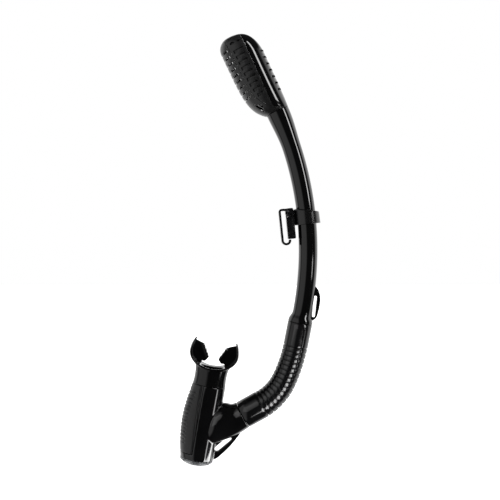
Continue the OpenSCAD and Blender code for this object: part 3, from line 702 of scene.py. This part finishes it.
def keeper_block():
    left, right, top, bottom = -21.8, -13.6, 9.8, -22.2
    shape = [(left + 0.6, bottom), (right - 0.8, bottom), (right, bottom + 0.8), (right, -9.6),
             (right + 0.1, -9),
             (right + 0.1, top - 0.9), (right - 0.9, top), (-19.4, top), (-20.6, 9.2), (-21.5, 8.4),
             (left, 7.6),
             (left, bottom + 0.6)]
    obj = prism("block", shape, 8, IN_KEEPER)
    cuts = [slab("knuckle", left - 1, -15.6, -4.2, 4.2, 3.9, 12, IN_KEEPER),
            rod("bore", -19.4, 6.8, 1.22, -9, 9, IN_KEEPER),
            slab("lug", right - 0.2, right + 3, -5.1, 5.1, -7.8, 7.8, IN_KEEPER)]
    for s in (-1, 1):
        # Sloped window above, shallow textured pocket below.
        window = [(-20.6, s * 7.9), (-14.9, s * 6.4), (-14.9, s * 9), (-20.6, s * 9)]
        verts = [(x, y, z) for z in (0.4, 4.2) for x, y in window]
        faces = [(0, 1, 2, 3), (7, 6, 5, 4), (0, 4, 5, 1), (1, 5, 6, 2), (2, 6, 7, 3), (3, 7, 4, 0)]
        cuts.append(add_mesh("window", verts, faces, IN_KEEPER))
        cuts.append(slab("pocket", -20.6, -14.9, *sorted((s * 7.3, s * 9)), -20.9, -1.0, IN_KEEPER))
    for cut in cuts:
        combine(obj, cut, "DIFFERENCE")
    bosses = []
    for s in (-1, 1):
        for x, z in ((-19.2, -15.8), (-16.3, -15.4)):
            bosses.append(rod("boss", x, z, 1.1, *sorted((s * 7.0, s * 7.8)), IN_KEEPER, 20))
        for z in (-19.4, -12.6, -10.2, -7.8, -5.4, -3.0):
            bosses.append(slab("rib", -20.7, -14.8, *sorted((s * 7.0, s * 7.65)), z - 0.45, z + 0.45,
                               IN_KEEPER))
    for boss in bosses:
        combine(obj, boss, "UNION")
    rounded(obj, 0.28)
    return place_piece(obj, "keeper_block", "keeper", MATERIALS["clip_black"], ["clip_block"])


def strap_hook():
    """Thin strip from the hinge, round the corner, down the slot and up the hooked end."""
    bar, top, low, j_r, c_r = -27.7, 8.7, -23.3, 3.9, 2.0
    line = [(-18.9, top), (bar + c_r, top)]
    line += [(bar + c_r - c_r * math.sin(a), top - c_r + c_r * math.cos(a))
             for a in [math.pi / 2 * i / 8 for i in range(1, 9)]]
    line += [(bar, z) for z in (0, -8, -16)]
    line += [(bar + j_r - j_r * math.cos(a),
              low - j_r * math.sin(a))
             for a in [math.pi * i / 20 for i in range(21)]]
    line += [(bar + 2 * j_r, low + 0.5)]
    half_t = 1.2
    outer, inner = [], []
    for i, p in enumerate(line):
        a, b = line[max(i - 1, 0)], line[min(i + 1, len(line) - 1)]
        dx, dz = b[0] - a[0], b[1] - a[1]
        size = math.hypot(dx, dz)
        nx, nz = dz / size, -dx / size
        outer.append((p[0] + nx * half_t, p[1] + nz * half_t))
        inner.append((p[0] - nx * half_t, p[1] - nz * half_t))
    obj = prism("strip", outer + inner[::-1], 7, IN_KEEPER)
    for y0, y1 in ((-8, -4), (4, 8)):
        combine(obj, slab("clear", -22.2, -10, y0, y1, 2, 12, IN_KEEPER), "DIFFERENCE")
    rounded(obj, 0.4, segments=3)
    combine(obj, rod("knuckle", -19.4, 6.8, 2.4, -4, 4, IN_KEEPER), "UNION")
    combine(obj, rod("bore", -19.4, 6.8, 1.28, -9, 9, IN_KEEPER), "DIFFERENCE")
    return place_piece(obj, "strap_hook_strip", "hook", MATERIALS["clip_black"],
                       ["strap_hook"])


# ---------- hose ----------
ARC1 = math.radians(HOSE_MID_ANGLE - TAIL_ANGLE) * HOSE_R1
ARC2 = math.radians(BRANCH_ANGLE - HOSE_MID_ANGLE) * HOSE_R2
RIB_PITCH = (ARC1 + ARC2) / (RIBS - 1)


def hose_line(s):
    """Centre and tilt of the hose, s millimetres below its upper cuff; straight beyond both arcs."""
    if s < 0:
        return along(HOSE_TOP, TAIL_ANGLE, s), TAIL_ANGLE
    if s < ARC1:
        a = TAIL_ANGLE + math.degrees(s / HOSE_R1)
        return turned(HOSE_TOP, HOSE_R1, TAIL_ANGLE, a), a
    if s < ARC1 + ARC2:
        a = HOSE_MID_ANGLE + math.degrees((s - ARC1) / HOSE_R2)
        return turned(HOSE_MID, HOSE_R2, HOSE_MID_ANGLE, a), a
    return along(HOSE_END, BRANCH_ANGLE, s - ARC1 - ARC2), BRANCH_ANGLE


# One rib and the groove above it: place along the pitch, and share of the groove's depth.
RIB_PROFILE = [(-0.50, 0.0), (-0.455, 0.06), (-0.43, 0.35), (-0.41, 0.75), (-0.385, 1.0), (-0.33, 1.0),
               (-0.305, 0.75),
               (-0.285, 0.35), (-0.26, 0.06), (-0.21, 0.0), (0.05, 0.0), (0.3, 0.0)]


def hose(n=112):
    rings = []
    total = ARC1 + ARC2

    def ring(s, r):
        p, a = hose_line(s)
        rings.append(tilted_ring(p, a, r, n))

    for s, r in [(0.3, CUFF_R - 0.3), (0.6, CUFF_R), (6, CUFF_R), (13, CUFF_R), (19, CUFF_R)]:
        ring(s - CUFF, r)
    for i in range(RIBS):
        for place, share in RIB_PROFILE[0 if i else 9:]:
            s = (i + place) * RIB_PITCH
            if 0 <= s <= ARC1 + ARC2:
                ring(s, CUFF_R + (LOW_CUFF_R - CUFF_R) * (s / total) ** 2 - RIB_DEPTH * share)
    for s, r in [(1.2, LOW_CUFF_R), (1.6, LOW_CUFF_R), (8, LOW_CUFF_R), (14, LOW_CUFF_R),
                 (LOW_CUFF - 0.3, LOW_CUFF_R), (LOW_CUFF, LOW_CUFF_R - 0.3), (LOW_CUFF, 10.8), (1.2, 10.8)]:
        ring(total + s, r)
    for i in range(40, -1, -1):
        ring(total * i / 40, 9.6)
    ring(-1.2, 10.8)
    ring(0.3 - CUFF, 10.8)
    obj = loft("hose_bellows", rings, hollow=True)
    place_piece(obj, "hose_bellows", None, MATERIALS["silicone_black"],
                ["corrugated_hose"], sharp=60)
    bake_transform(obj)
    return obj


# ---------- purge housing ----------
def ease(u):
    u = min(max(u, 0.0), 1.0)
    return u * u * (3 - 2 * u)


def body_section(z, t):
    """[left, right, half depth] of the housing's section, t inside its skin."""
    bulge = BODY_BULGE * math.sin(math.pi * min(max(z / BODY_H, 0.0), 1.0))
    return (-BODY_R + t - bulge, z), (BODY_R - t, z), BODY_R - t + (NECK_RY - BODY_R) * ease(z / BODY_H)


def body_loft(name, t, z0, z1, steps=40, n=120):
    return loft(name, [oval_ring(*body_section(z0 + (z1 - z0) * i / steps, t), n)
                       for i in range(steps + 1)], IN_BODY)


def branch_root(n=96):
    """Stations of [upper point, lower point, half depth] where the branch widens into the chamber."""
    c, s = math.cos(math.radians(BRANCH_ANGLE)), math.sin(math.radians(BRANCH_ANGLE))
    end = along(BRANCH, BRANCH_ANGLE, 0.35)
    end = (end[0] - BODY[0], end[1] - BODY[1])
    keys = [((9.0, 36.9), (12.5, 12.4), 13.6), ((15.5, 49.4), (21.7, 15.9), 15.8),
            ((23.5, 56.1), (29.9, 18.9), 15.4),
            ((30.5, 57.5), (38.2, 22.1), 14.6), ((36.9, 56.2), (46.9, 26.6), 14.2),
            ((end[0] - BRANCH_R * c, end[1] + BRANCH_R * s), (end[0] + BRANCH_R * c, end[1] - BRANCH_R * s),
             BRANCH_R)]
    upper, lower = smooth_line([k[0] for k in keys], 8), smooth_line([k[1] for k in keys], 8)
    depth = smooth_line([(k[2], 0) for k in keys], 8)
    return loft("branch", [oval_ring(u, l, d[0], n) for u, l, d in zip(upper, lower, depth)], IN_ROOT)


def web():
    shape = smooth_line([(48.1, 31.9), (47.1, 28.3), (45.1, 24.5), (41.9, 20.3), (35.0, 12.0), (26.1, 3.6),
                         (20.6, -0.7), (15.5, -2.1)], 4)
    obj = prism("web", [*shape, (7.5, 15.9), (21.5, 35.9)], 2.5, IN_ROOT)
    a = math.radians(40)
    dx, dz = 8.5 * math.cos(a), 8.5 * math.sin(a)
    return combine(obj, prism("eye", slot_outline((27.7 - dx, 14.8 - dz), (27.7 + dx, 14.8 + dz), 2.4), 6,
                              IN_ROOT),
                   "DIFFERENCE")


def cylinder(name, r, z0, z1, place, n=96, ry=None):
    return loft(name, [circle_ring(r, z0, n, ry), circle_ring(r, z1, n, ry)], place)


def housing():
    obj = body_loft("housing", 0, 0, BODY_H)
    zone = body_loft("zone", -3, -4, BODY_H + 4)
    combine(zone, body_loft("core", GRIP_T, -6, BODY_H + 6), "DIFFERENCE")
    combine(zone, slab("half", -60, GRIP_EDGE, -60, 60, GRIP_BASE - 0.2, BODY_H + 20, IN_BODY), "INTERSECT")
    combine(obj, zone, "DIFFERENCE")
    combine(obj, branch_root(), "UNION")
    combine(obj, web(), "UNION")
    combine(obj, cylinder("spigot", 14.6, BODY_H - 1, BODY_H + 8, IN_BODY, ry=12.0), "UNION")
    for cut in (body_loft("inside", 3.2, 7.5, BODY_H - 3), cylinder("seat", 14.4, -1, 5.2, IN_BODY),
                cylinder("hole", 12.6, 4.6, 9, IN_BODY),
                cylinder("throat", 12.4, BODY_H - 4, BODY_H + 12, IN_BODY, ry=9.9),
                cylinder("socket", 10.0, -8.8, 3, IN_BRANCH), cylinder("bore", 8.6, -48, 2, IN_BRANCH)):
        combine(obj, cut, "DIFFERENCE")
    moulded(obj, 0.55, 7)
    return place_piece(obj, "purge_chamber", "mouth", MATERIALS["gloss_black"],
                       ["purge_housing"],
                       sharp=60)


def grip():
    """Ribbed rubber panel let into the housing's front."""
    across, up = 72, 200
    verts = []
    for layer in (0, 1):
        for j in range(up + 1):
            z = GRIP_BASE + (BODY_H - 0.1 - GRIP_BASE) * j / up
            left, right, half = body_section(z, 0 if layer == 0 else GRIP_T - 0.05)
            mx, hx = (left[0] + right[0]) / 2, (right[0] - left[0]) / 2
            edge = GRIP_EDGE - 0.3 - 1.9 * ease((z - 10) / 66)
            t0 = math.acos(max(-1.0, min(1.0, (edge - mx) / hx)))
            rib = (z - 15.5) / (57.0 / 15)
            phase = rib % 1.0
            groove = 0.9 * max(0.0, 1 - abs(phase - 0.2) / 0.24) if 0 <= rib < 15 else 0.0
            groove = min(groove * 1.5, 0.9)
            end = min(j, up - j) / up * (BODY_H - GRIP_BASE)
            for i in range(across + 1):
                t = t0 + (2 * math.pi - 2 * t0) * i / across
                y = half * math.sin(t)
                side = min(t - t0, 2 * math.pi - t0 - t) * half
                cut = groove * ease((13.2 - abs(y)) / 2.4) if layer == 0 else 0.0
                if layer == 0:
                    cut = max(cut, 1.25 * (1 - ease(side / 1.5)), 0.5 * (1 - ease(end / 0.6)))
                verts.append((mx + (hx - cut) * math.cos(t), (half - cut) * math.sin(t), z))
    w = across + 1
    base = w * (up + 1)
    faces = []
    for first in (0, base):
        faces += [(first + j * w + i, first + j * w + i + 1, first + (j + 1) * w + i + 1,
                   first + (j + 1) * w + i)
                  for j in range(up) for i in range(across)]
    rim = [i for i in range(w)] + [j * w + across for j in range(1, up + 1)]
    rim += [up * w + i for i in range(across - 1, -1, -1)] + [j * w for j in range(up - 1, 0, -1)]
    faces += [(a, b, base + b, base + a) for a, b in zip(rim, rim[1:] + rim[:1])]
    obj = add_mesh("grip", verts, faces, IN_BODY)
    return place_piece(obj, "grip_panel", "mouth", MATERIALS["grip_rubber"], ["grip_cover"],
                       sharp=50)


# ---------- mouthpiece ----------
LIP_HALF, LIP_Z, LIP_LOW, LIP_HIGH, LIP_TIP = 26.3, 112.0, 19.0, 24.0, 125.0
LIP_T = 2.2
LIP_DEPTH = 14.0
LIP_CURL = 1.2


def lip_point(t, inset):
    r = (LIP_LOW - inset) if math.sin(t) < 0 else LIP_HIGH
    return (LIP_HALF - inset) * math.cos(t), LIP_Z + r * math.sin(t)


def lip():
    """U-shaped flange: an outer and an inner skin joined by a round rim."""
    around, across = 110, 28
    reach = math.asin((LIP_TIP - LIP_Z) / LIP_HIGH)
    verts = []
    for inset in (0.0, LIP_T):
        for i in range(around + 1):
            t = math.pi - reach + (math.pi + 2 * reach) * i / around
            x, z = lip_point(t, inset)
            u = min(max((z - 114.0) / (LIP_TIP + 0.4 - 114.0), 0.0), 1.0)
            half = LIP_DEPTH * math.sqrt(1 - u * u)
            for k in range(across + 1):
                y = half * math.sin(math.pi / 2 * (2 * k / across - 1))
                curl = LIP_CURL * (y / LIP_DEPTH) ** 2
                verts.append((x * (1 - curl / LIP_HALF), y, z - curl * math.sin(t)))
    w = across + 1
    base = w * (around + 1)
    faces = []
    for first in (0, base):
        faces += [(first + j * w + i, first + j * w + i + 1, first + (j + 1) * w + i + 1,
                   first + (j + 1) * w + i)
                  for j in range(around) for i in range(across)]
    rim = [i for i in range(w)] + [j * w + across for j in range(1, around + 1)]
    rim += [around * w + i for i in range(across - 1, -1, -1)] + [j * w for j in range(around - 1, 0, -1)]
    faces += [(a, b, base + b, base + a) for a, b in zip(rim, rim[1:] + rim[:1])]
    return add_mesh("lip", verts, faces, IN_BODY)


def bite_tab(side):
    """Web from the lip to a ribbed lug that the teeth hold."""
    p, q = ((12.2, 119.6), (4.9, 106.6)) if side < 0 else ((11.4, 118.4), (4.9, 105.6))
    web_shape = [(24.9, 118.0), (23.6, 121.6), (21.6, 122.6), (16.5, 120.9), p, q, (10, 99.4), (17.0, 97.4),
                 (22.0, 101.0), (25.0, 107.0)]
    web_piece = prism("tab", [(side * x, z) for x, z in web_shape], 1.6, IN_BODY)
    dx, dz = q[0] - p[0], q[1] - p[1]
    size = math.hypot(dx, dz)
    ux, uz, nx, nz = dx / size, dz / size, -dz / size, dx / size
    pieces = [web_piece]

    def bar(a0, a1, t0, t1, half):
        pts = [(p[0] + ux * a + nx * t, p[1] + uz * a + nz * t)
               for a, t in ((a0, t0), (a1, t0), (a1, t1), (a0, t1))]
        pieces.append(prism("lug", [(side * x, z) for x, z in pts], half, IN_BODY))

    bar(0, size, 0, 2.4, 6.5)
    for a in (2.2, 6.6, 11.0):
        bar(a - 0.6, a + 0.6, -0.5, 1.2, 6.2)
    return pieces


def mouthpiece():
    n = 96
    rings = []
    for i in range(13):
        u = i / 12
        pinch = 0.6 * math.sin(math.pi * u)
        rings.append(oval_ring((-BODY_R + pinch, BODY_H + 0.15 + 17 * u),
                               (BODY_R - pinch, BODY_H + 0.15 + 17 * u),
                               NECK_RY - 1.4 * u, n))
    rings += [oval_ring((-17.7, 95.8), (17.7, 95.8), 13.5, n),
              oval_ring((-18.6, 97.2), (18.6, 97.2), 13.4, n)]
    obj = loft("neck", rings, IN_BODY)
    cutter = prism("above", [lip_point(math.pi + math.pi * i / 30, 1.1) for i in range(31)]
                   + [(25, 140), (-25, 140)],
                   30, IN_BODY)
    combine(obj, cutter, "DIFFERENCE")
    combine(obj, lip(), "UNION")
    for side in (-1, 1):
        for piece in bite_tab(side):
            combine(obj, piece, "UNION")
    combine(obj, cylinder("socket", 14.7, BODY_H - 2, BODY_H + 8.2, IN_BODY, ry=12.1), "DIFFERENCE")
    combine(obj, cylinder("throat", 12.2, BODY_H, BODY_H + 24, IN_BODY, ry=7.6), "DIFFERENCE")
    moulded(obj, 0.42, 6)
    return place_piece(obj, "mouthpiece_lip", "mouth", MATERIALS["silicone_black"],
                       ["mouthpiece"],
                       sharp=60)


# ---------- kept CAD parts ----------
def finish_cad(replaced):
    for name, obj in frame["nodes"].items():
        if name not in replaced:
            slots = [s.name.split(".")[0] for s in obj.data.materials]
            for i, slot in enumerate(slots):
                obj.material_slots[i].link = "OBJECT"
                obj.material_slots[i].material = MATERIALS[slot]


# ---------- studio ----------
CAMERA_X, CAMERA_Z, CAMERA_AWAY = -0.0361, -0.0239, 0.80
VIEW_WIDTH = 0.525


def studio():
    scene = bpy.context.scene
    scene.view_settings.view_transform = "Standard"
    low = cad_box[0]
    floor = add_mesh("floor", [(x, y, 0) for x, y in ((-4, -4), (4, -4), (4, 4), (-4, 4))], [(0, 1, 2, 3)],
                     Matrix.Translation((0, 0, low[2] - 0.0005)))
    mat, tree, bsdf = shader("floor_white")
    tree.links.new(two_tone(tree, noise(tree, 3), (0.93, 0.93, 0.93), (0.95, 0.95, 0.95)),
                   bsdf.inputs["Base Color"])
    bsdf.inputs["Roughness"].default_value = 0.9
    bsdf.inputs["Specular IOR Level"].default_value = 0.1
    bsdf.inputs["Emission Color"].default_value = (1, 1, 1, 1)
    bsdf.inputs["Emission Strength"].default_value = 0.95
    floor.data.materials.append(mat)
    floor.visible_glossy = False
    floor.visible_diffuse = False
    floor.visible_shadow = False
    camera = bpy.data.objects.new("camera", bpy.data.cameras.new("camera"))
    scene.collection.objects.link(camera)
    camera.location = (CAMERA_X, -CAMERA_AWAY, CAMERA_Z)
    camera.rotation_euler = (math.pi / 2, 0, 0)
    camera.data.sensor_width = 36
    camera.data.lens = 36 * CAMERA_AWAY / VIEW_WIDTH
    camera.data.clip_start = 0.01
    scene.camera = camera
    world()
    panel("hose_panel", HOSE_MID, 29, -27, (0.46, 0.62), 13, ["hose_bellows"])
    panel("chamber_panel", BODY, 81, -31, (1.05, 0.36), 17, ["purge_chamber"])
    panel("branch_panel", BRANCH, -30, 22, (0.85, 0.75), 1.7, ["purge_chamber", "hose_bellows"])


def panel(name, aim, azimuth, elevation, size, power, pieces):
    """Lamp that lights some pieces only, 1.2 m from aim, a place in the XZ plane in millimetres."""
    light = bpy.data.lights.new(name, "AREA")
    light.shape = "RECTANGLE"
    light.size, light.size_y = size
    light.energy = power
    obj = bpy.data.objects.new(name, light)
    bpy.context.scene.collection.objects.link(obj)
    a, e = math.radians(azimuth), math.radians(elevation)
    away = Vector((math.cos(e) * math.sin(a), -math.cos(e) * math.cos(a), math.sin(e)))
    obj.location = Vector((aim[0] * MM, 0, aim[1] * MM)) + 1.2 * away
    obj.rotation_euler = away.to_track_quat("Z", "Y").to_euler()
    obj.visible_camera = False
    only = bpy.data.collections.new(name)
    for piece in pieces:
        only.objects.link(bpy.data.objects[piece])
    obj.light_linking.receiver_collection = only


# Panels of light round the object, in degrees: left and right edge (0 is the front, + is to its right),
# lower and upper edge, softness of the edges, and brightness.
PANELS = [
    (-900, -100, -58, 36, 16, 1.4),
    (-88, -20, -60, 48, 14, 0.72),
    (90, 900, -58, 36, 12, 1.9),
    (-900, 900, -91, 91, 4, 0.045),
    (49, 60, 9, 60, 2, 13.0),
    (49, 58, -5.5, -1.5, 1, 8.0),
    (57, 64, -22, -16, 2, 8.0),
]


def world():
    """Dark studio with panels of light all round; white to the camera itself."""
    w = bpy.data.worlds.new("studio")
    bpy.context.scene.world = w
    w.use_nodes = True
    tree = w.node_tree
    background = tree.nodes["Background"]
    coords = tree.nodes.new("ShaderNodeTexCoord")
    split = tree.nodes.new("ShaderNodeSeparateXYZ")
    tree.links.new(coords.outputs["Generated"], split.inputs["Vector"])
    back = math_node(tree, "MULTIPLY", split.outputs["Y"], -1)
    turn = math_node(tree, "MULTIPLY", math_node(tree, "ARCTAN2", split.outputs["X"], back), 180 / math.pi)
    height = math_node(tree, "MULTIPLY", math_node(tree, "ARCSINE", split.outputs["Z"]), 180 / math.pi)
    total = None
    for left, right, low, high, soft, value in PANELS:
        part = math_node(tree, "MULTIPLY", window(tree, turn, left, right, soft),
                         window(tree, height, low, high, soft))
        part = math_node(tree, "MULTIPLY", part, value)
        total = part if total is None else math_node(tree, "ADD", total, part)
    path = tree.nodes.new("ShaderNodeLightPath")
    shown = math_node(tree, "MAXIMUM", total, path.outputs["Is Camera Ray"])
    shown = math_node(tree, "MINIMUM", shown, spread(tree, path.outputs["Is Camera Ray"], 100, 1, 0, 1))
    tree.links.new(shown, background.inputs["Color"])
    background.inputs["Strength"].default_value = 1.0


def math_node(tree, operation, a, b=None):
    node = tree.nodes.new("ShaderNodeMath")
    node.operation = operation
    for socket, value in zip(node.inputs, (a, b)):
        if isinstance(value, (int, float)):
            socket.default_value = value
        elif value is not None:
            tree.links.new(value, socket)
    return node.outputs[0]


def window(tree, value, low, high, soft):
    """1 between low and high, falling to 0 across soft degrees at each end."""
    rise = spread(tree, value, 0, 1, low - soft / 2, low + soft / 2)
    fall = spread(tree, value, 1, 0, high - soft / 2, high + soft / 2)
    return math_node(tree, "MULTIPLY", rise, fall)


front_shell()
side_shell()
spine_shell()
barrel()
keeper_ring()
keeper_block()
strap_hook()
hose()
housing()
grip()
mouthpiece()
finish_cad({"front_grille", "side_cowl", "spine_cover", "barrel", "keeper_collar", "clip_block",
            "strap_hook",
            "corrugated_hose", "purge_housing", "grip_cover", "mouthpiece"})
studio()
